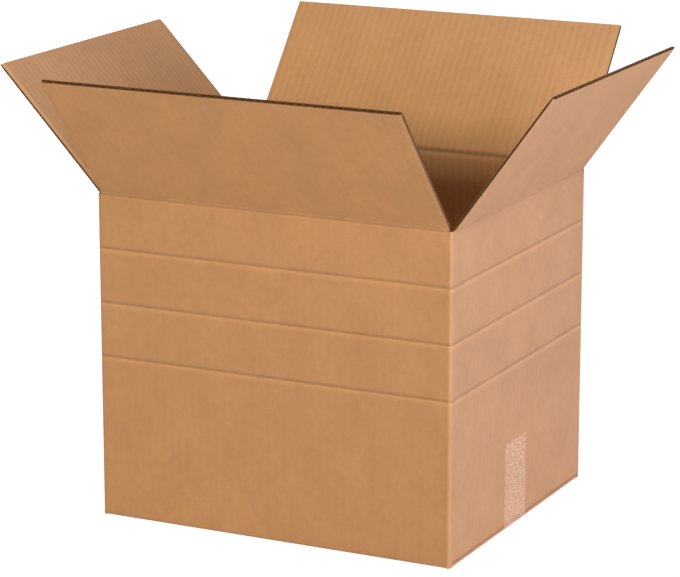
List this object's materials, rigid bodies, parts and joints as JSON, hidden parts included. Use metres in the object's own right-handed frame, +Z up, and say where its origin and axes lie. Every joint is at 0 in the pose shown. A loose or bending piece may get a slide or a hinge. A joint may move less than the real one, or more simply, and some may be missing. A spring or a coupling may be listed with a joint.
{
  "type": "corrugated cardboard box",
  "caption": "Open regular slotted corrugated cardboard box with hinged top flaps, score lines round its panels and a taped bottom.",
  "frame": {"origin": "centre of the base on the floor, where the bottom flaps meet", "axes": "+X along the box's length, -Y towards the long front panel, +Z up"},
  "size_m": [0.5627, 0.5129, 0.4407],
  "materials": {
    "board": "brown kraft corrugated board",
    "tape": "clear packing tape"
  },
  "bodies": {
    "box": {"box_body": "board", "bottom_tape": "tape"},
    "front": {"flap_front": "board"},
    "back": {"flap_back": "board"},
    "left": {"flap_left": "board"},
    "right": {"flap_right": "board"}
  },
  "joints": [
    {"name": "front_crease", "type": "hinge", "parent": "box", "child": "front", "pos_m": [0, -0.1564, 0.31645], "axis": [-1, 0, 0], "range_deg": [-129.6, 130.4]},
    {"name": "back_crease", "type": "hinge", "parent": "box", "child": "back", "pos_m": [0, 0.1564, 0.31645], "axis": [1, 0, 0], "range_deg": [-130.6, 129.4]},
    {"name": "left_crease", "type": "hinge", "parent": "box", "child": "left", "pos_m": [-0.1818, 0, 0.31215], "axis": [0, 1, 0], "range_deg": [-126.5, 133.5]},
    {"name": "right_crease", "type": "hinge", "parent": "box", "child": "right", "pos_m": [0.1818, 0, 0.31215], "axis": [0, -1, 0], "range_deg": [-134, 126]}
  ]
}
